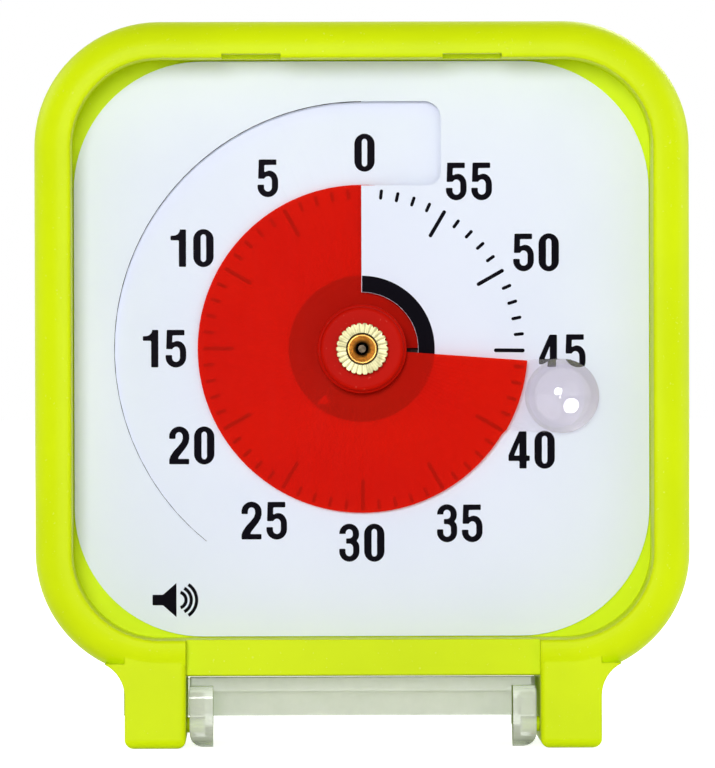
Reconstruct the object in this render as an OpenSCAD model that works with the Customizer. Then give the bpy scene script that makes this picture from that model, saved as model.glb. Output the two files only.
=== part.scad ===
// Visual countdown timer with a red film disc, a hinged clear cover and a quartz movement.
// +Z is up and the dial faces -Y. Depths named *_f count back from the front of the rim.
// Angles named *_a are clock angles: degrees clockwise from 12 o'clock, seen from the front.

/* [Case] */
// Width and height of the square case
case_w = 76; // [70:1:100]
// Depth of the case from rim to back
case_depth = 32; // [31:0.5:45]
// Outer corner radius of the case
corner_r = 14.5; // [12:0.5:16]
// Wall thickness behind the rim
wall = 2; // [1.6:0.1:2.6]
// Width of the raised rim
rim_w = 4.3; // [3.8:0.1:6]
// Rounding of the rim's outer edge
rim_round = 3.3; // [1:0.1:3.6]
// Rounding of the rim's inner edge
rim_lip_round = 0.5; // [0.2:0.1:0.6]
// Rounding of the back cover's edge
back_round = 3; // [1:0.1:3.6]
// Depth of the rear cover
rear_depth = 6; // [5:0.5:9]
// Depth of the recess in the lower rim that takes the folded cover
band_recess = 2.2; // [2:0.1:3]

/* [Feet] */
// Height of the case bottom above the table
foot_h = 8.3; // [8:0.1:14]
// Width of one foot
foot_w = 7.1; // [6:0.1:10]
// Clear gap between the feet
foot_gap = 41.1; // [34:0.5:44]
// Front of the feet behind the rim's crown
foot_front_f = 0.4; // [0.2:0.1:2]
// Length of the feet from front to back
foot_len = 25.4; // [20:0.2:26]
// Rounding of the feet's edges
foot_round = 1.1; // [0.4:0.1:1.6]
// Fillet between a foot and the case
foot_fillet = 4.2; // [1:0.1:4.5]

/* [Hinge] */
// Height of the hinge axis above the table
hinge_z = 2.55; // [2.4:0.05:3]
// Depth of the hinge axis
hinge_f = 5.9; // [5.8:0.1:7]
// Radius of the hinge pins
pin_r = 0.9; // [0.7:0.05:1.2]
// Length of the hinge pins
pin_len = 2; // [1.5:0.1:2.2]

/* [Clear cover] */
// Thickness of the panel
panel_t = 1.7; // [1.2:0.1:2]
// Overall thickness of the tray
tray_t = 4.55; // [3.5:0.05:4.6]
// Thickness of the tray walls
tray_wall = 1.5; // [1:0.1:2]
// Width of the wide part that covers the disc
cover_w = 57; // [48:1:60]
// Distance from the hinge to where the cover widens
neck_len = 25; // [23:0.5:28]
// Corner radius of the cover
cover_r = 10; // [8:0.5:14]
// Thickness of the hinge ears
ear_t = 2.7; // [2.4:0.1:3.4]
// Distance of the two latch tabs from the middle
latch_x = 12.8; // [8:0.2:20]
// Width of a latch tab
latch_w = 6.2; // [4:0.1:8]

/* [Dial] */
// Depth of the dial face behind the rim
dial_f = 8.5; // [8.5:0.1:10]
// Thickness of the dial plate
dial_t = 0.4; // [0.3:0.05:0.4]
// Corner radius of the dial plate
dial_r = 15; // [12:0.5:18]
// Radius of the arc cut
arc_r = 28.9; // [28.6:0.1:29.2]
// Width of the arc cut
cut_w = 0.05; // [0.05:0.05:0.3]
// Width of the window beside 12 o'clock
window_w = 9.3; // [9:0.1:10]
// Clock angle where the ramp leaves the flat dial
ramp_start_a = 219; // [215:1:230]
// Depth of the window floor below the dial face
floor_drop = 1.2; // [1.2:0.05:1.4]
// Radius of the dial's hole round the hub
dial_hole_r = 6.6; // [6:0.1:7.2]

/* [Disc] */
// Outer radius of the red film
film_r = 19.15; // [17:0.05:19.2]
// Thickness of the red film
film_t = 0.15; // [0.1:0.01:0.16]
// Depth that the film gains in one turn
film_pitch = 2.6; // [2.6:0.02:2.7]
// Minutes left that the disc shows
minutes_left = 44.3; // [2:0.1:58]
// Radius of the knob
knob_r = 4.33; // [3.5:0.1:4.4]
// Height of the knob's dome
knob_h = 1.9; // [1:0.1:2]
// Distance of the knob from the disc's centre
knob_at_r = 24; // [23.5:0.1:24.2]
// Angle from the film's edge to the knob
knob_lag_a = 9.2; // [8:0.1:11]
// Thickness of the clear tab
tab_t = 0.15; // [0.1:0.01:0.16]

/* [Hub] */
// Radius of the hub's flange
flange_r = 5.2; // [5.15:0.05:5.6]
// Radius of the raised cap
cap_r = 4.9; // [4:0.05:5]
// Outer radius of the knurled nut
knurl_r = 3.03; // [2.6:0.01:3.6]
// Number of teeth on the knurled nut
knurl_teeth = 26; // [18:1:36]
// Outer radius of the tube arbor
arbor_r = 1.75; // [1.5:0.05:2]
// Bore radius of the tube arbor
arbor_bore_r = 0.75; // [0.6:0.05:0.9]
// Radius of the seconds pin
seconds_r = 0.45; // [0.3:0.05:0.5]

/* [Movement] */
// Width and height of the movement
move_w = 56; // [54:1:60]
// Wall thickness of the movement
move_wall = 1.2; // [1:0.1:1.6]
// Height of the battery bay
bay_h = 17; // [16.5:0.5:17]
// Module of the first gear pair
centre_module = 0.3; // [0.25:0.01:0.32]
// Teeth on the centre wheel
centre_teeth = 60; // [60:1:64]
// Teeth on the third wheel
third_teeth = 64; // [60:1:66]
// Teeth on the fourth wheel
fourth_teeth = 60; // [56:1:64]
// Teeth on the two train pinions
pinion_teeth = 8; // [8:1:9]
// Teeth on the rotor pinion
rotor_teeth = 10; // [10:1:12]
// Module of the rotor's gear pair
rotor_module = 0.25; // [0.22:0.01:0.27]
// Clock angle of the third wheel's axis
third_a = 315; // [300:5:330]
// Clock angle of the rotor's axis
rotor_a = 45; // [35:5:55]

/* [Battery] */
// Radius of the cell
cell_r = 7.25; // [7:0.05:7.25]
// Length of the cell without its nub
cell_len = 49.5; // [48:0.1:49.5]

/* [Fits] */
// Gap between parts that seat together
seat_gap = 0.15; // [0.1:0.01:0.2]
// Radial gap of running fits
run_gap = 0.05; // [0.04:0.01:0.08]
// Gap between a moving part and what it passes
pass_gap = 0.2; // [0.18:0.01:0.25]

/* [Hidden] */
$fn = 64;
// Small overlap or gap, and how far a cutting shape runs past what it cuts
e = 0.05;
over = 1;
lime = [0.80, 0.95, 0.02];
clear = [0.85, 0.88, 0.84, 0.5];
brass = [0.80, 0.72, 0.42];
steel = [0.75, 0.76, 0.78];
black = [0.10, 0.11, 0.12];
smoke = [0.88, 0.88, 0.86];

// Case
dial_z = foot_h + case_w / 2;
opening = case_w / 2 - rim_w;
opening_r = corner_r - rim_w;
seat_f = dial_f + dial_t;
ledge_t = 1.6;
ledge_half = arc_r + 1.6;
ledge_r = dial_r - 3;
frame_depth = case_depth - rear_depth;
cavity = case_w / 2 - wall;
cavity_r = corner_r - wall;
foot_in = foot_gap / 2;
foot_out = foot_in + foot_w;
foot_edge = 0.6;
boss_r = 3;
boss_at = cavity - boss_r - 2;
lip_t = 1.2;
lip_reach = 2;
lip_clear = 2.6;
screw_r = 1;
screw_len = 9;
screw_sink = 1;
screw_head_r = 2.05;
screw_head_t = 0.9;
post_r = 1.7;
post_x = ledge_half + post_r + 0.3;
post_z = 12;
post_screw_r = 0.8;
post_screw_len = 3;

// Clear cover, in its own axes: s runs away from the hinge and h points to its outer face
cover_top_h = hinge_f - 0.3;
cover_panel_h = cover_top_h - panel_t;
cover_edge_h = cover_top_h - tray_t;
cover_near_s = foot_h - hinge_z - 0.15 - tray_wall;
cover_len = dial_z + opening - hinge_z - 2 * pass_gap;
ear_gap = 0.4;
ear_drop = 1.05;
ear_round = 1.5;
neck_half = foot_in - ear_gap;
neck_fillet = 3;
band_end_s = foot_h + rim_w - hinge_z + 2 * pass_gap;
latch_out = 0.35;
notch_depth = 0.5;
notch_len = 4;
notch_gap = 0.3;
far_dist = norm([cover_len, cover_edge_h]);
tilt = atan(cover_edge_h / cover_len) + asin(hinge_z / far_dist);
total_depth = hinge_f + (cover_len + latch_out) * cos(tilt) + cover_top_h * sin(tilt);

// Film and dial: the film is a screw surface, so it stays on itself as it turns and sinks
film_start_f = seat_f - film_pitch + pass_gap;
lead_a = 360 - 6 * minutes_left;
film_span_a = 355;
ramp_end_a = 390;
film_bore_r = flange_r - 2 * run_gap;
sleeve_r = film_bore_r - 2 * run_gap;
window_low = knob_at_r * cos(knob_lag_a) - knob_r - 1.5 * pass_gap;
window_top_r = 2;
window_low_r = 1.6;
floor_out_r = ledge_half - pass_gap;
tab_f = film_depth(lead_a + knob_lag_a);
knob_a = lead_a + knob_lag_a;
tab_span_a = 25;
tab_edge = 0.1;
// Radius of the film where it carries the tab
tab_film_r = film_r + 0.2;

// Hub stack
film_last_f = film_start_f + 2 * film_pitch + film_t;
plate_f = film_last_f + 0.35;
plate_t = 1;
plate_r = 4;
flange_f = film_start_f - 0.8;
flange_t = 0.5;
hub_round = 0.5;
cap_f = flange_f - 1;
nut_f = cap_f - 1.2;
knurl_round = 0.1;
arbor_front_f = nut_f + 0.35;
bore_chamfer = 1.1;
pin_sink = 0.5;
sleeve_end_f = plate_f - pass_gap - 0.05;
bushing_r = 3;
bushing_head_r = 5;
nut_flats = 7.4;
nut_t = 1.8;
washer_t = 0.4;
washer_r = 4.25;
hub_floor_f = flange_f + 1.3;
bushing_front_f = hub_floor_f + 1.2;

// Movement stack
move_f = plate_f + plate_t;
inner_f = move_f + move_wall;
move_split_f = inner_f + 8.2;
move_back_f = case_depth - 3.8;
lid_f = move_back_f - move_wall;
move_half = move_w / 2;
move_r = 2.5;
bay_top = bay_h - move_half;
pillar_r = 1.6;
pillar_in = 4;
pillar_at = [for (x = [-1, 1], z = [bay_top + pillar_in, move_half - pillar_in])
    [x * (move_half - pillar_in), z]];
boss_small_r = 1.2;
gear_t = 0.8;
centre_f = inner_f + 1.8;
bridge_f = inner_f + 3.2;
bridge_t = 0.6;
third_f = inner_f + 4.2;
fourth_f = inner_f + 6.2;
stator_f = inner_f + 8.7;
board_f = lid_f - 1.4;
third_module = centre_module * (centre_teeth + pinion_teeth) / (third_teeth + pinion_teeth);
third_dist = centre_module * (centre_teeth + pinion_teeth) / 2 + 0.03;
rotor_dist = rotor_module * (fourth_teeth + rotor_teeth) / 2 + 0.03;
third_x = third_dist * sin(third_a);
third_z = third_dist * cos(third_a);
rotor_x = rotor_dist * sin(rotor_a);
rotor_z = rotor_dist * cos(rotor_a);
staff_r = 0.45;
staff_front_f = move_f + move_wall / 2;
staff_back_f = lid_f + 0.3;
// Where staffs end in the movement's lid, and their radii
pivot_at = [[0, 0, seconds_r], [third_x, third_z, staff_r], [rotor_x, rotor_z, staff_r]];
pinion_proud = 0.2;
pinion_clear_r = centre_module * (pinion_teeth / 2 + 0.8) + pass_gap;
collet_w = 0.8;
collet_proud = 0.4;
lightening_r = 1.6;
lightening_at = 5;
coil_reach = 14.5;
coil_r = 2.9;
core_r = 1.9;
cheek_t = 0.8;
cheek_proud = 0.3;
coil_x = rotor_x + coil_reach;
coil_half = 7;
loop_half = coil_half + 3;
arm_w = 2.4;
magnet_r = 2.5;
magnet_proud = 0.5;
board_t = 1.2;
board_w = 22;
board_h = 14;
board_x = -move_half + move_wall + 1;
board_z = bay_top + move_wall + 1;
crystal_r = 1;

// Battery and sound parts
cell_z = -move_half + bay_h / 2;
cell_f = inner_f + cell_r + pass_gap;
nub_r = 2.6;
nub_h = 1;
contact_t = 0.4;
contact_w = 10;
contact_h = 8;
wire_r = 0.3;
spring_r = 3.4;
spring_turns = 3;
door_w = 52;
door_h = 17;
door_t = 1.6;
door_r = 1.4;
door_rest = 1.5;
finger_r = 3.5;
grip_w = 1;
cover_plate_t = 2;
cover_plate_f = case_depth - cover_plate_t;
switch_z = move_half + 3.8;
switch_travel = 4;
switch_w = 11;
switch_h = 5.2;
switch_depth = 3.5;
slide_t = 1;
slide_lap = 0.6;
slider_w = 3.8;
slider_h = 3;
slider_proud = 0.4;
slot_h = slider_h + 2 * pass_gap;
sound_hole_r = 0.6;
buzzer_t = 0.9;
buzzer_r = 8;
buzzer_x = -14;
buzzer_z = 14;

// Placing

// Y of a depth behind the front of the rim
function at(f) = f - total_depth / 2;

// Depth of the film's front at a clock angle, counted on through its turns
function film_depth(a) = film_start_f + film_pitch * a / 360;

// Depth of the dial's front at a clock angle past the ramp's start
function ramp_depth(a) = dial_f + floor_drop * min(1, (a - ramp_start_a) / (360 - ramp_start_a));

// A point at radius r, clock angle a and depth f
function clock(r, a, f) = [r * sin(a), at(f), dial_z + r * cos(a)];

// Extrudes a front view, drawn about the dial's centre, from depth f0 to f1
module slab(f0, f1) {
    translate([0, at(f1), dial_z]) rotate([90, 0, 0]) linear_extrude(f1 - f0) children();
}

// Extrudes a front view, drawn from the table up, from depth f0 to f1
module standing(f0, f1) {
    translate([0, at(f1), 0]) rotate([90, 0, 0]) linear_extrude(f1 - f0) children();
}

// Turns a profile of radius and depth about the dial's axis moved by x and z
module spin(x = 0, z = 0) {
    translate([x, at(0), dial_z + z]) rotate([-90, 0, 0]) rotate_extrude() children();
}

// A round bar or hole along the depth
module rod(r, f0, f1, x = 0, z = 0) {
    translate([x, at(f1), dial_z + z]) rotate([90, 0, 0]) cylinder(r = r, h = f1 - f0);
}

// Outlines

// A rectangle about the origin with round corners
module rounded(w, h, r) {
    square([w - 2 * r, h], center = true);
    square([w, h - 2 * r], center = true);
    for (x = [-1, 1], y = [-1, 1]) translate([x * (w / 2 - r), y * (h / 2 - r)]) circle(r);
}

// What a rounding of radius r takes from a corner at the origin of the first quadrant
module corner_cut(r) {
    difference() {
        translate([-e, -e]) square(r + e);
        translate([r, r]) circle(r);
    }
}

// Fillet in the inner corner between a leg's right side at x = edge and the round of radius r
// about centre that the leg stands out of, downwards
module leg_fillet(edge, centre, r, fillet) {
    dx = edge + fillet - centre[0];
    mid = [edge + fillet, centre[1] - sqrt(pow(r + fillet, 2) - dx * dx)];
    touch = mid + (centre - mid) * fillet / (r + fillet);
    difference() {
        polygon([[edge - e, mid[1]], mid, touch + [-e, e], [edge - e, touch[1] + e]]);
        translate(mid) circle(fillet);
    }
}

// Sweeps a profile of (outward, depth) round a square path with round corners
module square_sweep(half, r) {
    run = half - r;
    translate([0, at(0), dial_z])
    for (a = [0:90:270]) rotate([0, a, 0]) {
        translate([half, 0, -run]) linear_extrude(2 * run) children();
        translate([run, 0, -run]) rotate([-90, 0, 0])
            rotate_extrude(angle = 90) translate([r, 0]) children();
    }
}

// A thin band from radius r0 out to a radius and a depth given at each of its angles
module spiral_band(r0, outers, thick, angles, depths) {
    n = len(angles);
    points = [for (i = [0:n - 1]) each [
        clock(r0, angles[i], depths[i]), clock(outers[i], angles[i], depths[i]),
        clock(outers[i], angles[i], depths[i] + thick), clock(r0, angles[i], depths[i] + thick)]];
    sides = [for (i = [0:n - 2], j = [0:3])
        let (a = 4 * i + j, b = 4 * i + (j + 1) % 4) each [[a, b, a + 4], [b, b + 4, a + 4]]];
    polyhedron(points, concat([[2, 1, 0], [3, 2, 0]], sides,
        [[4 * n - 4, 4 * n - 3, 4 * n - 2], [4 * n - 4, 4 * n - 2, 4 * n - 1]]));
}

// Case

// Section of the rim and the wall behind it
module rim_profile() {
    difference() {
        square([rim_w, seat_f]);
        translate([rim_w, 0]) mirror([1, 0]) corner_cut(rim_round);
        corner_cut(rim_lip_round);
    }
    translate([rim_w - wall, seat_f - 1]) square([wall, frame_depth - seat_f + 1]);
}

// One foot in front view, on the right, with its fillet into the case's corner
module foot_outline(top) {
    difference() {
        translate([foot_in, 0]) square([foot_w, top]);
        translate([foot_in, 0]) corner_cut(foot_round);
        translate([foot_out, 0]) mirror([1, 0]) corner_cut(foot_round);
    }
    leg_fillet(foot_out, [case_w / 2 - corner_r, foot_h + corner_r], corner_r, foot_fillet);
}

// Front and side views cut the foot's lower and front edges round; it runs up to the rim's
// crown in front and ends inside the wall behind
module foot() {
    intersection() {
        union() {
            standing(foot_front_f, seat_f) foot_outline(foot_h + rim_w - rim_lip_round);
            standing(seat_f - e, foot_front_f + foot_len) foot_outline(foot_h + wall / 2);
        }
        translate([foot_in - over, at(foot_front_f), 0]) rotate([90, 0, 90])
            linear_extrude(foot_w + foot_fillet + 2 * over) difference() {
                square([foot_len, foot_h + corner_r]);
                corner_cut(foot_round);
                translate([foot_len, 0]) mirror([1, 0]) corner_cut(foot_round);
            }
        translate([foot_in, at(foot_front_f), -over])
            linear_extrude(foot_h + corner_r + over) difference() {
                square([foot_w + foot_fillet + over, foot_len]);
                corner_cut(foot_edge);
                translate([0, foot_len]) mirror([0, 1]) corner_cut(foot_edge);
            }
    }
}

// Bosses in the four corners take the case screws from the back
module corner_bosses(r, f0, f1) {
    for (x = [-1, 1], z = [-1, 1]) rod(r, f0, f1, x * boss_at, z * boss_at);
}

// Posts behind the ledge carry the mount plate
module plate_posts(r, f0, f1) {
    for (x = [-1, 1], z = [-1, 1]) rod(r, f0, f1, x * post_x, z * post_z);
}

module front_frame() {
    color(lime) difference() {
        union() {
            square_sweep(opening, opening_r) rim_profile();
            slab(seat_f, seat_f + ledge_t) difference() {
                rounded(case_w - wall, case_w - wall, corner_r - wall / 2);
                rounded(2 * ledge_half, 2 * ledge_half, ledge_r);
            }
            foot();
            mirror([1, 0, 0]) foot();
            for (side = [-1, 1]) translate([side * foot_in, at(hinge_f), hinge_z])
                rotate([0, -90 * side, 0]) cylinder(r = pin_r, h = pin_len);
            intersection() {
                corner_bosses(boss_r, seat_f + ledge_t - e, cover_plate_f - seat_gap);
                union() {
                    slab(seat_f, frame_depth - lip_reach)
                        rounded(case_w - wall, case_w - wall, corner_r - wall / 2);
                    slab(frame_depth - lip_reach - e, case_depth) lip_outline(0);
                }
            }
            plate_posts(post_r, seat_f + ledge_t - e, plate_f);
        }
        // recess in the lower rim, which the folded cover's neck lies in
        translate([-foot_in, at(-over), foot_h - over])
            cube([foot_gap, over + band_recess, rim_w + 2 * over]);
        // notches in the upper rim for the latch tabs
        for (side = [-1, 1])
            translate([side * latch_x - latch_w / 2 - notch_gap, at(-over), dial_z + opening - over])
                cube([latch_w + 2 * notch_gap, over + notch_len, over + notch_depth]);
        corner_bosses(screw_r, cover_plate_f - screw_len, cover_plate_f + over);
        plate_posts(post_screw_r, plate_f + plate_t - post_screw_len - pass_gap, plate_f + over);
    }
}

// Outline of the rear cover's lip inside the frame, drawn in by a wall's width
module lip_outline(inset) {
    half = cavity - seat_gap - inset;
    rounded(2 * half, 2 * half, cavity_r - seat_gap - inset);
}

// Clearance round the corner bosses, where the rear cover's lip stops
module boss_clearance() {
    for (x = [-1, 1], z = [-1, 1])
        translate([x * boss_at, z * boss_at]) circle(boss_r + lip_clear);
}

// Back of the case, with a lip inside the frame, battery opening, switch slot and sound holes
module rear_cover() {
    color(lime) difference() {
        union() {
            difference() {
                union() {
                    square_sweep(case_w / 2 - rim_w, corner_r - rim_w) translate([0, frame_depth])
                        difference() {
                            square([rim_w, rear_depth]);
                            translate([rim_w, rear_depth]) mirror([1, 1]) corner_cut(back_round);
                        }
                    slab(frame_depth, case_depth) rounded(case_w - 2 * rim_w + e,
                        case_w - 2 * rim_w + e, corner_r - rim_w);
                }
                slab(frame_depth - over, cover_plate_f) rounded(2 * cavity, 2 * cavity, cavity_r);
            }
            slab(frame_depth - lip_reach + pass_gap, frame_depth + over) difference() {
                lip_outline(0);
                lip_outline(lip_t);
                boss_clearance();
            }
            slab(frame_depth, cover_plate_f + e) difference() {
                rounded(2 * cavity + e, 2 * cavity + e, cavity_r);
                lip_outline(lip_t);
                boss_clearance();
            }
        }
        slab(cover_plate_f - over, case_depth + over) translate([0, cell_z])
            rounded(door_w - 2 * door_rest, door_h - 2 * door_rest, door_r);
        slab(case_depth - door_t - 2 * e, case_depth + over) translate([0, cell_z])
            rounded(door_w + 2 * seat_gap, door_h + 2 * seat_gap, door_r + seat_gap);
        slab(cover_plate_f - over, case_depth + over) translate([0, switch_z])
            square([slider_w + switch_travel + 2 * pass_gap, slot_h], center = true);
        corner_bosses(screw_r + 2 * seat_gap, cover_plate_f - over, case_depth + over);
        corner_bosses(screw_head_r + 2 * seat_gap, case_depth - screw_sink, case_depth + over);
        for (ring = [[0, 1], [3, 6], [6, 10]], i = [1:ring[1]])
            rod(sound_hole_r, cover_plate_f - over, case_depth + over,
                buzzer_x + ring[0] * cos(i * 360 / ring[1]),
                buzzer_z + ring[0] * sin(i * 360 / ring[1]));
    }
}

// Snap-in door over the battery, with a finger notch and grip grooves
module battery_door() {
    color(lime) difference() {
        slab(case_depth - door_t, case_depth - e)
            translate([0, cell_z]) rounded(door_w, door_h, door_r);
        slab(case_depth - door_t / 2, case_depth + over)
            translate([0, cell_z + door_h / 2]) circle(finger_r);
        for (i = [-3:3]) slab(case_depth - door_t / 4, case_depth + over)
            translate([3 * grip_w * i, cell_z - door_h / 2 + 3.5 * grip_w])
                square([grip_w, 3 * grip_w], center = true);
    }
}

// A pan head screw seen from behind, with a cross recess
module back_screw(x, z, head_f, shank_r, shank_len, head_r, head_t) {
    difference() {
        union() {
            rod(shank_r, head_f - shank_len, head_f + e, x, z);
            rod(head_r, head_f, head_f + head_t, x, z);
        }
        slab(head_f + head_t / 2, head_f + head_t + 1) translate([x, z]) {
            square([head_r, head_r / 4], center = true);
            square([head_r / 4, head_r], center = true);
        }
    }
}

module case_screws() {
    color(steel) for (x = [-1, 1], z = [-1, 1])
        back_screw(x * boss_at, z * boss_at, case_depth - screw_sink, screw_r - e, screw_len - 1,
            screw_head_r, screw_head_t);
}

module plate_screws() {
    color(steel) for (x = [-1, 1], z = [-1, 1])
        back_screw(x * post_x, z * post_z, plate_f + plate_t, post_screw_r - e,
            post_screw_len, 2 * post_screw_r, screw_head_t);
}

// Clear cover

// Keyhole outline of the cover in (x, s), drawn in by a wall's width
module cover_outline(inset = 0) {
    neck = neck_half - inset;
    half = cover_w / 2 - inset;
    near = cover_near_s + inset;
    far = cover_len - inset;
    start = neck_len + inset;
    r = cover_r - inset;
    translate([-neck, near]) square([2 * neck, far - near - r]);
    translate([0, (start + far) / 2]) rounded(2 * half, far - start, r);
    for (side = [0, 1]) mirror([side, 0])
        leg_fillet(neck, [half - r, start + r], r, neck_fillet + inset);
}

// Hinge ear in (s, h): a round knuckle with a web up to the panel
module ear_profile() {
    top = cover_top_h - ear_drop;
    difference() {
        translate([-hinge_z, 0]) square([cover_near_s + tray_wall + hinge_z, top]);
        translate([-hinge_z, top]) mirror([0, 1]) corner_cut(ear_round);
    }
    circle(hinge_z);
    polygon([[0, -hinge_z], [cover_near_s + tray_wall / 3, cover_edge_h], [0, cover_edge_h]]);
}

// One ear, with its outer edges rounded and a blind hole for the pin
module ear() {
    difference() {
        intersection() {
            translate([neck_half - ear_t, 0, 0]) rotate([90, 0, 90])
                linear_extrude(ear_t) ear_profile();
            translate([0, cover_len, 0]) rotate([90, 0, 0]) linear_extrude(2 * cover_len)
                difference() {
                    translate([0, -hinge_z]) square([neck_half, 2 * hinge_z + cover_top_h]);
                    translate([neck_half, -hinge_z]) mirror([1, 0]) corner_cut(ear_round);
                }
        }
        translate([neck_half + over, 0, 0]) rotate([0, -90, 0])
            cylinder(r = pin_r + run_gap, h = over + pin_len - ear_gap + pass_gap);
    }
}

module clear_cover() {
    color(clear) translate([0, at(hinge_f), hinge_z]) rotate([-tilt, 0, 0]) {
        difference() {
            translate([0, 0, cover_edge_h]) linear_extrude(tray_t) cover_outline();
            translate([0, 0, cover_edge_h - over]) linear_extrude(tray_t - panel_t + over)
                cover_outline(tray_wall);
            // plain plate where the closed cover crosses the lower rim
            translate([-neck_half - over, cover_near_s + tray_wall, cover_edge_h - over])
                cube([2 * (neck_half + over), band_end_s - cover_near_s - tray_wall,
                    tray_t - panel_t + over]);
        }
        for (side = [0, 1]) mirror([side, 0, 0]) {
            ear();
            translate([latch_x - latch_w / 2, cover_len - e, cover_panel_h])
                cube([latch_w, latch_out + e, panel_t]);
        }
    }
}

// Dial

// White dial, cut along an arc and a radial slit: the strip inside the arc ramps down
// behind the flat part and comes out as the floor of the window
module dial_plate() {
    step = 5;
    root = 0.02;
    // the strip's end and its first fold lie inside the flat part, clear of the cut's end
    fold_a = ramp_start_a - 0.5;
    angles = concat([fold_a - 1.5], [for (a = [fold_a:step:358]) a],
        [360, 360.2], [for (a = [360 + step:step:ramp_end_a]) a]);
    color("white") union() {
        slab(dial_f, seat_f) difference() {
            rounded(2 * opening - 2 * seat_gap, 2 * opening - 2 * seat_gap, dial_r);
            intersection() {
                circle(arc_r, $fn = 180);
                polygon([[0, 0], case_w * [sin(ramp_start_a), cos(ramp_start_a)],
                    [-case_w, -case_w], [-case_w, case_w], [0, case_w]]);
            }
            translate([0, window_low]) window_outline();
            circle(dial_hole_r);
        }
        spiral_band(dial_hole_r + e, [for (a = angles) a > 360 ? floor_out_r : arc_r - cut_w],
            dial_t, angles, [for (a = angles) ramp_depth(max(a, ramp_start_a)) + root]);
    }
}

// Window beside 12 o'clock, with its two right corners round
module window_outline() {
    h = arc_r - window_low;
    difference() {
        square([window_w, h]);
        translate([window_w, h]) mirror([1, 1]) corner_cut(window_top_r);
        translate([window_w, 0]) mirror([1, 0]) corner_cut(window_low_r);
    }
}

// Disc

// Red film: a thin screw surface that passes through the dial's slit
module red_film() {
    step = 2.5;
    angles = [for (i = [0:film_span_a / step]) lead_a + i * step];
    outers = [for (a = angles) a > lead_a + tab_span_a ? film_r : tab_film_r];
    color([0.85, 0.08, 0.02, 0.8]) spiral_band(film_bore_r, outers, film_t, angles,
        [for (a = angles) film_depth(a)]);
}

// Clear strip bonded to the film's edge and carrying the knob
module pull_tab() {
    color(clear) slab(tab_f, tab_f + tab_t) difference() {
        hull() {
            translate(knob_at_r * [sin(knob_a), cos(knob_a)]) circle(knob_r, $fn = 96);
            for (a = [lead_a, lead_a + tab_span_a]) translate(tab_film_r * [sin(a), cos(a)])
                circle(tab_edge, $fn = 12);
        }
        circle(tab_film_r + tab_edge / 10, $fn = 180);
    }
}

// Clear dome that a fingertip turns the disc with
module pull_knob() {
    ball_r = (knob_r * knob_r + knob_h * knob_h) / (2 * knob_h);
    color(clear) spin(knob_at_r * sin(knob_a), knob_at_r * cos(knob_a)) intersection() {
        translate([0, tab_f - knob_h + ball_r]) circle(ball_r, $fn = 128);
        translate([0, tab_f - knob_h]) square([knob_r, knob_h]);
    }
}

// Red hub: flange in front of the film, and a sleeve that the film is carried on
module hub_flange() {
    color([0.80, 0.10, 0.04]) spin() difference() {
        union() {
            translate([arbor_r, flange_f]) square([flange_r - arbor_r, flange_t]);
            translate([arbor_r, flange_f]) square([sleeve_r - arbor_r, hub_floor_f - flange_f]);
            translate([washer_r + pass_gap, flange_f])
                square([sleeve_r - washer_r - pass_gap, sleeve_end_f - flange_f]);
        }
        translate([flange_r, flange_f]) mirror([1, 0]) corner_cut(hub_round / 2);
    }
}

module hub_cap() {
    color([0.80, 0.10, 0.04]) spin() difference() {
        translate([arbor_r, cap_f]) square([cap_r - arbor_r, flange_f - cap_f]);
        translate([cap_r, cap_f]) mirror([1, 0]) corner_cut(hub_round);
    }
}

// Brass nut with a knurled edge and a recess round the arbor's end
module knurled_nut() {
    groove = 0.9 * PI * knurl_r / knurl_teeth;
    color(brass) difference() {
        spin() difference() {
            translate([arbor_r, nut_f]) square([knurl_r - arbor_r, cap_f - nut_f]);
            translate([knurl_r, nut_f]) mirror([1, 0]) corner_cut(knurl_round);
            translate([arbor_r, nut_f]) corner_cut(knurl_round);
        }
        for (i = [0:knurl_teeth - 1]) rotate_about_dial(i * 360 / knurl_teeth)
            slab(nut_f - over, cap_f + over) translate([0, knurl_r]) rotate(45)
                square(groove, center = true);
    }
}

module rotate_about_dial(a) {
    translate([0, 0, dial_z]) rotate([0, a, 0]) translate([0, 0, -dial_z]) children();
}

// Tube arbor that the nut clamps the hub to, with the centre wheel behind
module arbor() {
    color(brass) spin() difference() {
        translate([arbor_bore_r, arbor_front_f])
            square([arbor_r - arbor_bore_r, centre_f + gear_t + collet_proud - arbor_front_f]);
        translate([arbor_bore_r, arbor_front_f]) rotate(45) square(bore_chamfer, center = true);
    }
}

// Centre fixing

module mount_plate() {
    half = cavity - 2 * pass_gap;
    color(black) slab(plate_f, plate_f + plate_t) difference() {
        rounded(2 * half, move_w + 2 * plate_t, plate_r);
        circle(bushing_r + seat_gap);
        for (x = [-1, 1], z = [-1, 1]) {
            translate([x * post_x, z * post_z]) circle(post_screw_r + seat_gap);
            translate([x * boss_at, z * boss_at]) circle(boss_r + 2 * pass_gap);
        }
    }
}

module threaded_bushing() {
    color(brass) spin() {
        translate([arbor_r + run_gap, bushing_front_f])
            square([bushing_r - arbor_r - run_gap, inner_f - bushing_front_f + e]);
        translate([arbor_r + run_gap, inner_f])
            square([bushing_head_r - arbor_r - run_gap, gear_t]);
    }
}

module hex_nut() {
    color(brass) slab(plate_f - washer_t - nut_t, plate_f - washer_t) difference() {
        circle(nut_flats / sqrt(3), $fn = 6);
        circle(bushing_r + run_gap);
    }
}

module washer() {
    color(steel) spin() translate([bushing_r + run_gap, plate_f - washer_t])
        square([washer_r - bushing_r - run_gap, washer_t]);
}

// Movement

// The movement's front view, and the part of it above the battery bay, drawn in by inset
module move_outline() {
    rounded(move_w, move_w, move_r);
}

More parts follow.
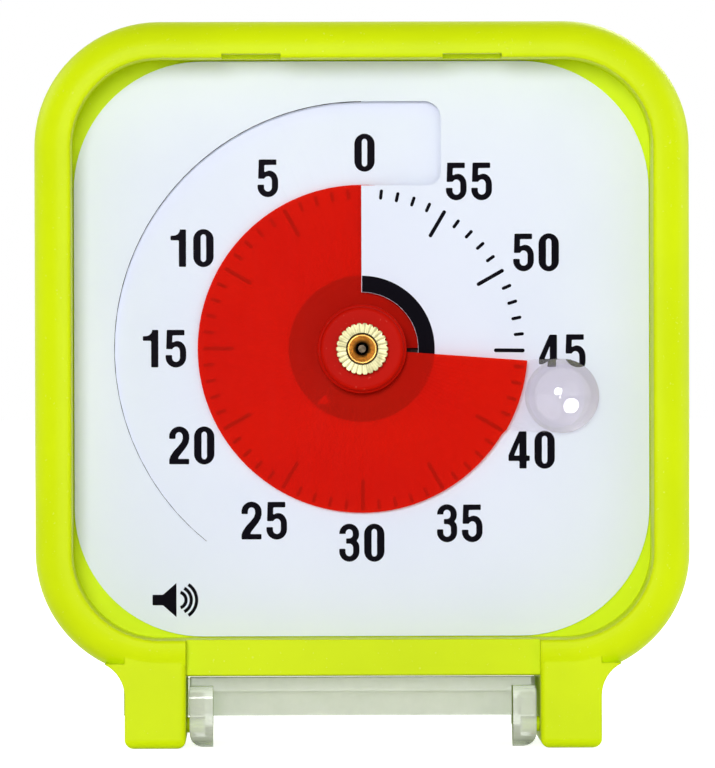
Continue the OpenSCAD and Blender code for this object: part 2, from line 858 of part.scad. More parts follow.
module chamber_outline(inset = 0) {
    h = move_w - bay_h;
    translate([0, move_half - h / 2])
        rounded(move_w - 2 * inset, h - 2 * inset, move_r - inset);
}

module bay_outline() {
    translate([0, cell_z - move_wall / 2])
        rounded(move_w - 2 * move_wall, bay_h - move_wall - e, move_r / 2);
}

module movement_front() {
    color(smoke) difference() {
        union() {
            slab(move_f, move_split_f) difference() {
                move_outline();
                chamber_outline(move_wall);
                bay_outline();
            }
            slab(move_split_f - over, move_back_f) difference() {
                intersection() {
                    move_outline();
                    translate([-move_half, -move_half]) square([move_w, bay_h - seat_gap]);
                }
                bay_outline();
            }
            slab(move_f, inner_f) move_outline();
            for (p = pillar_at) rod(pillar_r, inner_f - e, bridge_f, p[0], p[1]);
            rod(boss_small_r, inner_f - e, centre_f - 0.5, third_x, third_z);
        }
        rod(bushing_r + run_gap, move_f - over, inner_f + over);
        rod(staff_r + run_gap, staff_front_f - pass_gap, centre_f, third_x, third_z);
    }
}

module movement_rear() {
    color(smoke) difference() {
        union() {
            slab(move_split_f, move_back_f) difference() {
                chamber_outline();
                chamber_outline(move_wall);
            }
            slab(lid_f, move_back_f) chamber_outline();
            for (p = pivot_at) rod(boss_small_r, lid_f - gear_t, lid_f + e, p[0], p[1]);
        }
        for (p = pivot_at)
            rod(p[2] + run_gap, lid_f - gear_t - over, staff_back_f + pass_gap, p[0], p[1]);
    }
}

// Bridge plate that carries the back end of the first gears and the front of the rotor
module middle_plate() {
    color(smoke) slab(bridge_f, bridge_f + bridge_t) difference() {
        chamber_outline(move_wall + seat_gap);
        circle(seconds_r + pass_gap);
        translate([third_x, third_z]) circle(pinion_clear_r);
        translate([rotor_x, rotor_z]) circle(staff_r + run_gap);
    }
}

// A spur gear outline whose first tooth points at a clock angle
module gear_outline(teeth, mod, first_a) {
    pitch_r = teeth * mod / 2;
    root_r = pitch_r - 1.2 * mod;
    tip_r = pitch_r + 0.8 * mod;
    root_w = 0.30 * PI * mod;
    tip_w = 0.11 * PI * mod;
    circle(root_r);
    for (i = [0:teeth - 1]) rotate(-first_a - i * 360 / teeth)
        polygon([[-root_w, root_r - mod], [-tip_w, tip_r], [tip_w, tip_r],
            [root_w, root_r - mod]]);
}

// Centre wheel on a collet that grips the tube arbor
module centre_wheel() {
    color(brass) difference() {
        union() {
            slab(centre_f, centre_f + gear_t) gear_outline(centre_teeth, centre_module, third_a);
            rod(arbor_r + collet_w, centre_f - collet_proud, centre_f + gear_t + collet_proud);
        }
        rod(arbor_r, centre_f - over, centre_f + gear_t + over);
        for (i = [0:3]) rod(lightening_r, centre_f - over, centre_f + gear_t + over,
            lightening_at * cos(90 * i), lightening_at * sin(90 * i));
    }
}

// Third wheel with its pinion and staff
module third_wheel() {
    gap_a = third_a + 180 + 180 / pinion_teeth;
    color(smoke) {
        slab(third_f, third_f + gear_t) translate([third_x, third_z])
            gear_outline(third_teeth, third_module, third_a + 180);
        slab(centre_f - pinion_proud, third_f + e) translate([third_x, third_z])
            gear_outline(pinion_teeth, centre_module, gap_a);
        rod(staff_r, staff_front_f, staff_back_f, third_x, third_z);
    }
}

// Fourth wheel with its pinion; its staff is the pin seen in the brass tube
module fourth_wheel() {
    gap_a = third_a + 180 / pinion_teeth;
    color(smoke) {
        slab(fourth_f, fourth_f + gear_t) difference() {
            gear_outline(fourth_teeth, rotor_module, rotor_a);
            circle(seconds_r);
        }
        slab(third_f - pinion_proud, fourth_f + e) difference() {
            gear_outline(pinion_teeth, third_module, gap_a);
            circle(seconds_r);
        }
    }
}

module arbor_pin() {
    color(steel) rod(seconds_r, arbor_front_f + pin_sink, staff_back_f);
}

// Rotor with its pinion and ring magnet
module rotor() {
    gap_a = rotor_a + 180 + 180 / rotor_teeth;
    color([0.35, 0.36, 0.40]) {
        slab(fourth_f - pinion_proud, fourth_f + gear_t + pinion_proud)
            translate([rotor_x, rotor_z]) gear_outline(rotor_teeth, rotor_module, gap_a);
        rod(staff_r, bridge_f, staff_back_f, rotor_x, rotor_z);
        rod(magnet_r, stator_f - magnet_proud, stator_f + gear_t + magnet_proud, rotor_x, rotor_z);
    }
}

// Soft iron loop: one bar round the rotor, two arms, and the core inside the coil
module stator() {
    color(steel) slab(stator_f, stator_f + gear_t) translate([rotor_x, rotor_z]) difference() {
        union() {
            circle(magnet_r + arm_w);
            translate([-arm_w / 2, -loop_half]) square([arm_w, 2 * loop_half]);
            for (z = [-loop_half, loop_half - arm_w])
                translate([-arm_w / 2, z]) square([coil_reach + arm_w, arm_w]);
            translate([coil_reach - arm_w / 2, -loop_half]) square([arm_w, 2 * loop_half]);
        }
        circle(magnet_r + pass_gap);
    }
}

// A box along the coil's core, about the core's middle
module coil_box(w, depth, length) {
    translate([coil_x, at(stator_f + gear_t / 2), dial_z + rotor_z])
        cube([w, depth, length], center = true);
}

module coil_round(r, length) {
    translate([coil_x, at(stator_f + gear_t / 2), dial_z + rotor_z])
        cylinder(r = r, h = length, center = true);
}

module coil_bobbin() {
    color("white") difference() {
        union() {
            coil_round(core_r, 2 * coil_half);
            for (side = [-1, 1]) translate([0, 0, side * (coil_half - cheek_t / 2)])
                coil_round(coil_r + cheek_proud, cheek_t);
        }
        coil_box(arm_w + 2 * run_gap, gear_t + 2 * run_gap, 3 * coil_half);
    }
}

module coil_winding() {
    color([0.72, 0.38, 0.16]) difference() {
        coil_round(coil_r, 2 * (coil_half - cheek_t - run_gap));
        coil_round(core_r + run_gap, 3 * coil_half);
    }
}

module circuit_board() {
    color([0.10, 0.35, 0.20]) slab(board_f, board_f + board_t) difference() {
        translate([board_x, board_z]) square([board_w, board_h]);
        translate([third_x, third_z]) circle(boss_small_r + 2 * pass_gap);
    }
}

module quartz_crystal() {
    color(steel) translate([board_x + 4 * crystal_r, at(board_f - crystal_r - e),
        dial_z + board_z + crystal_r]) cylinder(r = crystal_r, h = 6 * crystal_r);
}

// Battery

module aa_cell() {
    x0 = -cell_len / 2;
    color([0.20, 0.22, 0.26]) translate([x0, at(cell_f), dial_z + cell_z])
        rotate([0, 90, 0]) {
            cylinder(r = cell_r, h = cell_len);
            cylinder(r = nub_r, h = cell_len + nub_h);
        }
}

// Spring steel plate of either contact, its left face at x
module contact_plate(x) {
    translate([x, at(cell_f - contact_w / 2), dial_z + cell_z - contact_h / 2])
        cube([contact_t, contact_w, contact_h]);
}

module contact_positive() {
    color(steel) contact_plate(cell_len / 2 + nub_h + e);
}

// Conical spring contact at the flat end of the cell
module contact_spring() {
    x0 = -move_half + move_wall + 2 * e;
    color(steel) {
        contact_plate(x0);
        for (i = [0:spring_turns - 1])
            translate([x0 + contact_t + wire_r * (1.3 * i + 0.7), at(cell_f), dial_z + cell_z])
                rotate([0, 90, 0]) rotate_extrude()
                    translate([spring_r - 1.2 * wire_r * i, 0]) circle(wire_r, $fn = 24);
    }
}

// Sound

module buzzer() {
    color(brass) rod(buzzer_r, cover_plate_f - buzzer_t, cover_plate_f - 2 * e,
        buzzer_x, buzzer_z);
}

module switch_body() {
    color(black) slab(cover_plate_f - slide_t - switch_depth, cover_plate_f - slide_t - e)
        translate([0, switch_z]) square([switch_w, switch_h], center = true);
}

// Slider knob on a thin foot that runs behind the cover's slot
module sound_slider() {
    x = -switch_travel / 2;
    color(black) {
        slab(cover_plate_f - slide_t + 2 * e, cover_plate_f - 2 * e) translate([x, switch_z])
            square([slider_w + 2 * slide_lap, slider_h + 2 * slide_lap], center = true);
        slab(cover_plate_f - 3 * e, case_depth + slider_proud)
            translate([x, switch_z]) square([slider_w, slider_h], center = true);
    }
}

front_frame();
rear_cover();
battery_door();
case_screws();
clear_cover();
dial_plate();
red_film();
pull_tab();
pull_knob();
hub_flange();
hub_cap();
knurled_nut();
arbor();
arbor_pin();
mount_plate();
plate_screws();
threaded_bushing();
hex_nut();
washer();
movement_front();
movement_rear();
middle_plate();
centre_wheel();
third_wheel();
fourth_wheel();
rotor();
stator();
coil_bobbin();
coil_winding();
circuit_board();
quartz_crystal();
aa_cell();
contact_positive();
contact_spring();
buzzer();
switch_body();
sound_slider();
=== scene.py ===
"""Looks of a small visual countdown timer: finishes, dial print and studio round its CAD frame."""

import logging
import math
from dataclasses import dataclass, field
from enum import Enum
from typing import Sequence

import bmesh
import bpy
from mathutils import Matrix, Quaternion, Vector
from mathutils.geometry import tessellate_polygon


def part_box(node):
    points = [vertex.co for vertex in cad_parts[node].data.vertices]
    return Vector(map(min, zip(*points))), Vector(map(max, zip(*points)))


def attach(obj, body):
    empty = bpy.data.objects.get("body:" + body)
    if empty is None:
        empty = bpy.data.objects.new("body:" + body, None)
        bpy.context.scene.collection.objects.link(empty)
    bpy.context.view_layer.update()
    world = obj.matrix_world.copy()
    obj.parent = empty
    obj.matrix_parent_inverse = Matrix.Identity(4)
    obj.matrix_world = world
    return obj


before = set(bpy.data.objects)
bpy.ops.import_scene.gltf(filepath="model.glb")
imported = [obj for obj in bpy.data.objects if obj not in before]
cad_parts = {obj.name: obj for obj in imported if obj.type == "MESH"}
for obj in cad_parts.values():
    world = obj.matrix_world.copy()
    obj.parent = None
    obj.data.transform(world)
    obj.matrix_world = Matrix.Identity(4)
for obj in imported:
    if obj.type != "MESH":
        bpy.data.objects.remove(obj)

LOG = logging.getLogger("timer")
MM = 0.001

Point = tuple[float, float]
Outline = list[Point]
Rgb = tuple[int, int, int]
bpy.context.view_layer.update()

# Height of the dial's centre, which the arbor runs through
DIAL_Z = sum(corner.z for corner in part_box("arbor")) / 2

WHITE = (1.0, 1.0, 1.0, 1.0)

# Rays that see a surface, as against those that carry light to others
SEEN_RAYS = ("Is Camera Ray", "Is Glossy Ray", "Is Transmission Ray")
LIGHT_RAYS = ("Is Shadow Ray", "Is Diffuse Ray")


def linear(colour: Rgb) -> tuple[float, float, float, float]:
    """Turns an 8-bit screen colour into the linear colour that shaders take.

    Args:
        colour: Red, green and blue from 0 to 255.

    Returns:
        The linear colour with an alpha of 1.
    """
    parts = []
    for channel in colour:
        c = channel / 255
        parts.append(c / 12.92 if c <= 0.04045 else ((c + 0.055) / 1.055) ** 2.4)
    return (*parts, 1.0)


# Shader maths


class Value:
    """One output socket of a shader graph; arithmetic on it adds Math nodes."""

    def __init__(self, graph: "Graph", socket: bpy.types.NodeSocket) -> None:
        """Keeps the socket and the graph it belongs to."""
        self.graph = graph
        self.socket = socket

    def __add__(self, other: "Operand") -> "Value":
        """self + other."""
        return self.graph.math("ADD", self, other)

    def __radd__(self, other: "Operand") -> "Value":
        """other + self."""
        return self.graph.math("ADD", other, self)

    def __sub__(self, other: "Operand") -> "Value":
        """self - other."""
        return self.graph.math("SUBTRACT", self, other)

    def __rsub__(self, other: "Operand") -> "Value":
        """other - self."""
        return self.graph.math("SUBTRACT", other, self)

    def __mul__(self, other: "Operand") -> "Value":
        """self * other."""
        return self.graph.math("MULTIPLY", self, other)

    def __pow__(self, other: "Operand") -> "Value":
        """self to the power of other."""
        return self.graph.math("POWER", self, other)

    def __lt__(self, other: "Operand") -> "Value":
        """1 where self is below other, else 0."""
        return self.graph.math("LESS_THAN", self, other)

    def sine(self) -> "Value":
        """Sine of self in radians."""
        return self.graph.math("SINE", self)

    def magnitude(self) -> "Value":
        """self without its sign."""
        return self.graph.math("ABSOLUTE", self)

    def smooth(self, low: float, high: float) -> "Value":
        """Eases self from 0 to 1.

        Args:
            low: The value of self, and of all below it, that gives 0.
            high: The value of self, and of all above it, that gives 1.

        Returns:
            The eased value.
        """
        node = self.graph.node(
            "MapRange",
            {"interpolation_type": "SMOOTHSTEP"},
            {"Value": self, "From Min": low, "From Max": high},
        )
        return Value(self.graph, node.outputs[0])


Operand = Value | float | tuple | bpy.types.NodeSocket


class Graph:
    """The node tree of one material or of the world."""

    def __init__(self, owner: bpy.types.Material | bpy.types.World, end: str) -> None:
        """Empties the owner's tree but for an output node.

        Args:
            owner: The material or world.
            end: The output node's type name after "ShaderNode".
        """
        owner.use_nodes = True
        self.tree = owner.node_tree
        self.tree.nodes.clear()
        self.end = self.node(end)

    def node(
        self,
        kind: str,
        settings: dict[str, object] | None = None,
        inputs: dict[str | int, Operand] | None = None,
    ) -> bpy.types.Node:
        """Adds one node.

        Args:
            kind: The node's type name after "ShaderNode".
            settings: Properties, set before the sockets.
            inputs: Values or links of its sockets, by name or index.

        Returns:
            The new node.
        """
        node = self.tree.nodes.new("ShaderNode" + kind)
        for key, setting in (settings or {}).items():
            setattr(node, key, setting)
        for key, value in (inputs or {}).items():
            self.join(node.inputs[key], value)
        return node

    def join(self, socket: bpy.types.NodeSocket, value: Operand) -> None:
        """Links a value to a socket, or sets it there if it is a constant.

        Args:
            socket: The input socket.
            value: What goes into it.
        """
        if isinstance(value, Value):
            value = value.socket
        if isinstance(value, bpy.types.NodeSocket):
            self.tree.links.new(value, socket)
        else:
            socket.default_value = value

    def math(self, operation: str, *values: Operand) -> Value:
        """Adds a Math node of that operation on the values."""
        node = self.node("Math", {"operation": operation}, dict(enumerate(values)))
        return Value(self, node.outputs[0])

    def mix(self, factor: Operand, first: Operand, second: Operand) -> Value:
        """Mixes two colours, first at factor 0 and second at factor 1."""
        node = self.node("Mix", {"data_type": "RGBA"}, {0: factor, 6: first, 7: second})
        return Value(self, node.outputs[2])

    def place(self) -> bpy.types.NodeSocket:
        """The shaded point in the piece's own axes, in metres."""
        return self.node("TexCoord").outputs["Object"]

    def axes(self) -> tuple[Value, Value, Value]:
        """The shaded point's x, y and z in metres."""
        split = self.node("SeparateXYZ", None, {0: self.place()})
        return tuple(Value(self, socket) for socket in split.outputs)

    def noise(
        self, size: float, detail: float = 2.0, stretch: Sequence[float] = (1, 1, 1)
    ) -> Value:
        """Adds noise.

        Args:
            size: Size of its cells in metres.
            detail: Octaves of finer noise on it.
            stretch: How many times longer the cells are along each axis.

        Returns:
            The noise, round 0.5.
        """
        scaled = self.node(
            "VectorMath",
            {"operation": "MULTIPLY"},
            {0: self.place(), 1: tuple(1 / (size * s) for s in stretch)},
        )
        made = self.node(
            "TexNoise",
            None,
            {"Vector": scaled.outputs[0], "Scale": 1.0, "Detail": detail},
        )
        return Value(self, made.outputs[0])

    def bump(self, height: Operand, depth: float, normal: Operand | None = None) -> Value:
        """Adds relief.

        Args:
            height: The relief from 0 to 1.
            depth: Depth of the relief in metres.
            normal: The normal that it is put on, if not the surface's own.

        Returns:
            The new normal.
        """
        sockets: dict[str | int, Operand] = {"Height": height, "Distance": depth}
        if normal is not None:
            sockets["Normal"] = normal
        return Value(self, self.node("Bump", None, sockets).outputs[0])

    def facing(self, low: float, high: float) -> Value:
        """0 where the surface faces the eye and 1 where it is seen edge-on."""
        weight = self.node("LayerWeight", None, {"Blend": 0.5}).outputs["Facing"]
        return Value(self, weight).smooth(low, high)

    def level(self) -> Value:
        """Tells level faces from upright ones, in the piece's own axes.

        Returns:
            1 on faces that lie flat at rest and 0 on upright ones.
        """
        normal = self.node("TexCoord").outputs["Normal"]
        up = Value(self, self.node("SeparateXYZ", None, {0: normal}).outputs[2])
        return (up * up).smooth(0.3, 0.8)

    def soft_edges(self, radius: float) -> Value:
        """The normal as it would be with edges rounded to a radius in metres."""
        node = self.node("Bevel", {"samples": 4}, {"Radius": radius})
        return Value(self, node.outputs[0])

    def principled(self, **inputs: Operand) -> bpy.types.NodeSocket:
        """Adds the main shader; sockets are named with _ for a space."""
        sockets = {key.replace("_", " "): value for key, value in inputs.items()}
        return self.node("BsdfPrincipled", None, sockets).outputs[0]

    def clear(self, colour: tuple) -> bpy.types.NodeSocket:
        """A surface that only filters what is behind it by a linear colour."""
        return self.node("BsdfTransparent", None, {"Color": colour}).outputs[0]

    def blend(self, factor: Operand, first: Operand, second: Operand) -> bpy.types.NodeSocket:
        """Mixes two shaders, first at factor 0 and second at factor 1."""
        return self.node("MixShader", None, {0: factor, 1: first, 2: second}).outputs[0]

    def light_path(self, *rays: str) -> Value:
        """Tells kinds of ray apart.

        Args:
            *rays: Names of the Light Path node's outputs.

        Returns:
            1 for a ray of any of those kinds, else 0.
        """
        outputs = self.node("LightPath").outputs
        total = Value(self, outputs[rays[0]])
        for ray in rays[1:]:
            total = self.math("MAXIMUM", total, outputs[ray])
        return total


# Finishes


@dataclass(frozen=True)
class Finish:
    """A finish that makes its own material."""

    name: str

    def shader(self, graph: Graph) -> bpy.types.NodeSocket:
        """Builds the finish's shader in the graph and returns it."""
        raise NotImplementedError

    def material(self) -> bpy.types.Material:
        """Gives the finish's material, which is made once.

        Returns:
            The material of the finish's name.
        """
        made = bpy.data.materials.get(self.name)
        if made is None:
            made = bpy.data.materials.new(self.name)
            graph = Graph(made, "OutputMaterial")
            graph.join(graph.end.inputs["Surface"], self.shader(graph))
        return made

    def dress(self, *pieces: bpy.types.Object) -> None:
        """Puts the material on every slot of the pieces.

        Args:
            *pieces: The objects to dress.
        """
        for piece in pieces:
            if not piece.material_slots:
                piece.data.materials.append(None)
            for slot in piece.material_slots:
                slot.link = "OBJECT"
                slot.material = self.material()


@dataclass(frozen=True)
class Moulded(Finish):
    """Opaque moulded plastic with a fine spark-eroded texture."""

    colour: Rgb
    shade: Rgb
    dust: Rgb
    rough: float = 0.42
    gloss_spread: float = 0.12
    grain: float = 0.22 * MM
    relief: float = 0.006 * MM
    edge: float = 0.25 * MM
    gloss: float = 0.2
    flow: float = 11 * MM
    speck: float = 0.45 * MM
    speck_share: float = 0.3

    def shader(self, graph: Graph) -> bpy.types.NodeSocket:
        """Flow marks and specks of dust in the colour, uneven gloss and fine grain.

        Args:
            graph: The tree that it is built in.

        Returns:
            The shader.
        """
        flow = graph.noise(self.flow, 3).smooth(0.3, 0.75)
        fine = graph.noise(self.grain, 2)
        specks = graph.noise(self.speck, 1).smooth(0.7, 0.78)
        plain = graph.mix(flow, linear(self.colour), linear(self.shade))
        return graph.principled(
            Base_Color=graph.mix(specks * self.speck_share, plain, linear(self.dust)),
            Roughness=self.rough + (fine - 0.5) * self.gloss_spread,
            IOR=1.5,
            Specular_IOR_Level=self.gloss,
            Normal=graph.bump(fine, self.relief, graph.soft_edges(self.edge)),
        )


@dataclass(frozen=True)
class ClearPlastic(Finish):
    """Clear moulded plastic, a little milky, that lets the lamps through.

    haze is the share of milk on upright faces, flat_haze on faces that lie flat at rest
    and edge_haze on faces seen edge-on, which begin at edge_from. There the milk turns to
    edge_milk: partly the tint of clear plastic seen edge-on, partly painted shade and
    painted reflection of what is round the piece.
    """

    tint: Rgb
    shadow: Rgb
    milk: Rgb
    edge_milk: Rgb
    haze: float
    flat_haze: float
    edge_haze: float
    edge_from: float = 0.6
    rough: float = 0.03
    ripple: float = 0.004 * MM
    ripple_size: float = 1.6 * MM
    patch: float = 2.5 * MM

    def shader(self, graph: Graph) -> bpy.types.NodeSocket:
        """Glass with faint ripples and patches of haze, and painted shade on faces seen edge-on.

        Args:
            graph: The tree that it is built in.

        Returns:
            The shader.
        """
        patches = graph.noise(self.patch, 3)
        ripples = graph.bump(graph.noise(self.ripple_size, 2), self.ripple)
        glass = graph.principled(
            Base_Color=linear(self.tint),
            Roughness=self.rough + patches.smooth(0.5, 0.8) * 0.05,
            IOR=1.5,
            Transmission_Weight=1.0,
            Normal=ripples,
        )
        # Painted shade: faces seen edge-on turn to the darker edge colour, which stands for the
        # shade and reflections that fall on them.
        edge = graph.facing(self.edge_from, 1.0)
        milky = graph.principled(
            Base_Color=graph.mix(edge, linear(self.milk), linear(self.edge_milk)),
            Roughness=0.3 + patches * 0.1,
            Specular_IOR_Level=0.0,
            Normal=ripples,
        )
        haze = graph.level() * (self.flat_haze - self.haze) + self.haze
        share = edge * (self.edge_haze - haze) + haze * (patches * 0.3 + 0.85)
        plastic = graph.blend(share, glass, milky)
        lit_through = graph.clear(linear(self.shadow))
        return graph.blend(graph.light_path(*LIGHT_RAYS), plastic, lit_through)


@dataclass(frozen=True)
class RedFilm(Finish):
    """Thin red film: each side hides part of what is behind it and filters the rest red."""

    colour: Rgb
    deep: Rgb
    filter: Rgb
    hide: float = 0.31
    cloud: float = 9 * MM
    streak: float = 0.9 * MM

    def shader(self, graph: Graph) -> bpy.types.NodeSocket:
        """Satin red surface mixed with a red filter, with faint handling streaks.

        Args:
            graph: The tree that it is built in.

        Returns:
            The shader.
        """
        cloud = graph.noise(self.cloud, 3).smooth(0.3, 0.7)
        streaks = graph.noise(self.streak, 3, (1, 1, 6))
        surface = graph.principled(
            Base_Color=graph.mix(cloud, linear(self.colour), linear(self.deep)),
            Roughness=0.45 + streaks * 0.12,
            IOR=1.45,
            Specular_IOR_Level=0.1,
            Normal=graph.bump(cloud, 0.002 * MM),
        )
        through = graph.clear(linear(self.filter))
        return graph.blend(self.hide + (cloud - 0.5) * 0.04, through, surface)


@dataclass(frozen=True)
class DialCard(Finish):
    """Matt white card with a faint cool mottle and a paper tooth."""

    colour: Rgb
    shade: Rgb
    cloud: float = 18 * MM
    tooth: float = 0.16 * MM

    def shader(self, graph: Graph) -> bpy.types.NodeSocket:
        """Pale card with soft clouds and a fine tooth.

        Args:
            graph: The tree that it is built in.

        Returns:
            The shader.
        """
        cloud = graph.noise(self.cloud, 2).smooth(0.3, 0.75)
        tooth = graph.noise(self.tooth, 3)
        shading = cloud * 0.6 + tooth * 0.15
        return graph.principled(
            Base_Color=graph.mix(shading, linear(self.colour), linear(self.shade)),
            Roughness=0.62 + tooth * 0.1,
            IOR=1.4,
            Specular_IOR_Level=0.2,
            Normal=graph.bump(tooth, 0.003 * MM),
        )


@dataclass(frozen=True)
class PrintInk(Finish):
    """Screen-printed ink in thinly printed specks, lightened towards the upper left by painted
    glare.
    """

    colour: Rgb
    thin: Rgb
    speck: float = 0.3 * MM
    thin_from: float = 48 * MM
    thin_to: float = 90 * MM

    def shader(self, graph: Graph) -> bpy.types.NodeSocket:
        """Dark ink with thinly printed specks, lightened by painted glare towards the dial's upper
        left.

        Args:
            graph: The tree that it is built in.

        Returns:
            The shader.
        """
        x, _, z = graph.axes()
        # Painted glare: the ink is lightened towards the dial's upper left, where the light falls
        # on it.
        upper_left_glare = (z - x).smooth(self.thin_from, self.thin_to)
        speck = graph.noise(self.speck, 3)
        thinness_and_glare = upper_left_glare * 0.5 + speck.smooth(0.55, 0.85) * 0.25
        return graph.principled(
            Base_Color=graph.mix(thinness_and_glare, linear(self.colour), linear(self.thin)),
            Roughness=0.6 + speck * 0.15,
            IOR=1.45,
            Specular_IOR_Level=0.04,
            Normal=graph.bump(speck, 0.003 * MM),
        )


class Tooling(Enum):
    """The marks that a metal part's tooling leaves."""

    TURNED = "turned"
    RIDGED = "ridged"
    BRUSHED = "brushed"
    PLAIN = "plain"


@dataclass(frozen=True)
class Metal(Finish):
    """Bare metal with its tooling marks.

    depth is the height of the marks, and the grime field's two radii bound a ring that is
    darkened partly as oil in a joint and partly as painted shade that falls in it.
    """

    colour: Rgb
    tarnish: Rgb
    tooling: Tooling = Tooling.PLAIN
    rough: float = 0.28
    depth: float = 0.004 * MM
    grime: Point | None = None
    dirt: Rgb = (20, 14, 8)
    ridges: int = 26
    turning: float = 0.09 * MM
    patch: float = 1.1 * MM
    soft: float = 0.05 * MM

    def polar(self, graph: Graph) -> tuple[Value, Value]:
        """Finds the shaded point about the arbor.

        Args:
            graph: The tree that it is built in.

        Returns:
            Its radius in metres and its angle in radians.
        """
        x, _, z = graph.axes()
        drop = z - DIAL_Z
        return (x * x + drop * drop) ** 0.5, graph.math("ARCTAN2", x, drop)

    def marks(self, graph: Graph) -> Value:
        """Makes the tooling marks.

        Args:
            graph: The tree that they are built in.

        Returns:
            Their height from 0 to 1.
        """
        if self.tooling is Tooling.TURNED:
            radius, _ = self.polar(graph)
            rings = (radius * (2 * math.pi / self.turning)).sine() * 0.5 + 0.5
            return rings * 0.6 + graph.noise(0.25 * MM, 2) * 0.4
        if self.tooling is Tooling.RIDGED:
            _, angle = self.polar(graph)
            return (angle * self.ridges).sine() * 0.4 + 0.4 + graph.noise(0.2 * MM, 2) * 0.2
        if self.tooling is Tooling.BRUSHED:
            return graph.noise(0.06 * MM, 2, (1, 1, 14))
        return graph.noise(0.3 * MM, 3)

    def shader(self, graph: Graph) -> bpy.types.NodeSocket:
        """Metal with tarnish in patches and gloss broken by the marks.

        Args:
            graph: The tree that it is built in.

        Returns:
            The shader.
        """
        marks = self.marks(graph)
        patches = graph.noise(self.patch, 3).smooth(0.4, 0.75)
        worn = patches * 0.6 + (1 - marks) * 0.3
        base = graph.mix(worn, linear(self.colour), linear(self.tarnish))
        # Painted shade: the ring between the two radii is darkened both as oil in the joint and as
        # the shade that falls in that joint.
        if self.grime:
            radius, _ = self.polar(graph)
            inside, outside = (radius.smooth(edge, edge + self.soft) for edge in self.grime)
            base = graph.mix((inside - outside) * 0.93, base, linear(self.dirt))
        return graph.principled(
            Base_Color=base,
            Metallic=1.0,
            Roughness=self.rough + marks * 0.12,
            Normal=graph.bump(marks, self.depth, graph.soft_edges(self.soft)),
        )


@dataclass(frozen=True)
class Winding(Finish):
    """Enamelled wire wound round an upright core."""

    colour: Rgb
    gap: Rgb
    wire: float = 0.12 * MM

    def shader(self, graph: Graph) -> bpy.types.NodeSocket:
        """Turns of wire along the core's height, with painted shade in the gaps between them.

        Args:
            graph: The tree that it is built in.

        Returns:
            The shader.
        """
        _, _, z = graph.axes()
        wander = graph.noise(1.5 * MM, 2) * (self.wire * 2)
        # Painted shade: the gaps between the turns take the darker gap colour.
        turns = ((z + wander) * (math.pi / self.wire)).sine().magnitude()
        return graph.principled(
            Base_Color=graph.mix(turns.smooth(0.1, 0.6), linear(self.gap), linear(self.colour)),
            Metallic=0.8,
            Roughness=0.4 - turns * 0.12,
            Normal=graph.bump(turns, 0.04 * MM),
        )


@dataclass(frozen=True)
class Board(Finish):
    """Circuit board with solder mask over its tracks."""

    mask: Rgb
    track: Rgb
    pitch: float = 1.2 * MM

    def shader(self, graph: Graph) -> bpy.types.NodeSocket:
        """Upright and level tracks under the mask.

        Args:
            graph: The tree that it is built in.

        Returns:
            The shader.
        """
        upright = (graph.noise(self.pitch, 0, (1, 1, 30)) - 0.5).magnitude() < 0.035
        level = (graph.noise(self.pitch, 0, (30, 1, 1)) - 0.5).magnitude() < 0.03
        tracks = graph.math("MAXIMUM", upright, level)
        return graph.principled(
            Base_Color=graph.mix(tracks, linear(self.mask), linear(self.track)),
            Roughness=0.35 + graph.noise(0.2 * MM, 2) * 0.2,
            IOR=1.5,
            Normal=graph.bump(tracks, 0.03 * MM),
        )


@dataclass(frozen=True)
class CellWrap(Finish):
    """Plain battery sleeve with a coloured band at the positive end and bare steel ends."""

    body: Rgb
    band: Rgb
    steel: Rgb
    band_x: float = 13 * MM
    end_x: float = 24.2 * MM
    soft: float = 0.1 * MM

    def shader(self, graph: Graph) -> bpy.types.NodeSocket:
        """Sleeve, band and steel by their place along the cell.

        Args:
            graph: The tree that it is built in.

        Returns:
            The shader.
        """
        x, _, _ = graph.axes()
        band = x.smooth(self.band_x, self.band_x + self.soft)
        ends = x.magnitude().smooth(self.end_x, self.end_x + self.soft)
        scuffs = graph.noise(0.5 * MM, 3, (8, 1, 1))
        sleeve = graph.mix(band, linear(self.body), linear(self.band))
        return graph.principled(
            Base_Color=graph.mix(ends, sleeve, linear(self.steel)),
            Metallic=ends * 0.9,
            Roughness=0.28 + scuffs * 0.2,
            Normal=graph.bump(scuffs, 0.004 * MM),
        )


LIME = Moulded("lime_plastic_look", (216, 238, 3), (210, 232, 4), (236, 246, 120), gloss=0.1)
# The ink's second colour serves both thinly printed specks and painted glare at the upper left.
INK = PrintInk("dial_ink_look", (8, 6, 14), (24, 20, 30))
CARD = DialCard("dial_card_look", (232, 237, 254), (225, 231, 250))
FILM = RedFilm("red_film_look", (252, 38, 6), (246, 30, 4), (247, 110, 60))
HUB_RED = Moulded(
    "hub_red_look", (194, 16, 2), (184, 12, 2), (214, 90, 76),
    rough=0.5, gloss_spread=0.06, grain=0.5 * MM, relief=0.003 * MM, gloss=0.05,
)
# The lid's olive edge colour is partly the tint of clear plastic and partly painted shade and
# painted reflection of the lime case above it; the knob's mauve-grey edge colour is a painted dark
# rim on its faint tint.
CLEAR_LID = ClearPlastic(
    "clear_lid_look", (236, 242, 234), (226, 232, 222), (244, 245, 240), (168, 184, 108),
    haze=0.5, flat_haze=0.14, edge_haze=0.94,
)
CLEAR_KNOB = ClearPlastic(
    "clear_knob_look", (249, 247, 249), (246, 244, 247), (222, 217, 224), (158, 142, 156),
    haze=0.03, flat_haze=0.03, edge_haze=0.5, edge_from=0.84,
)
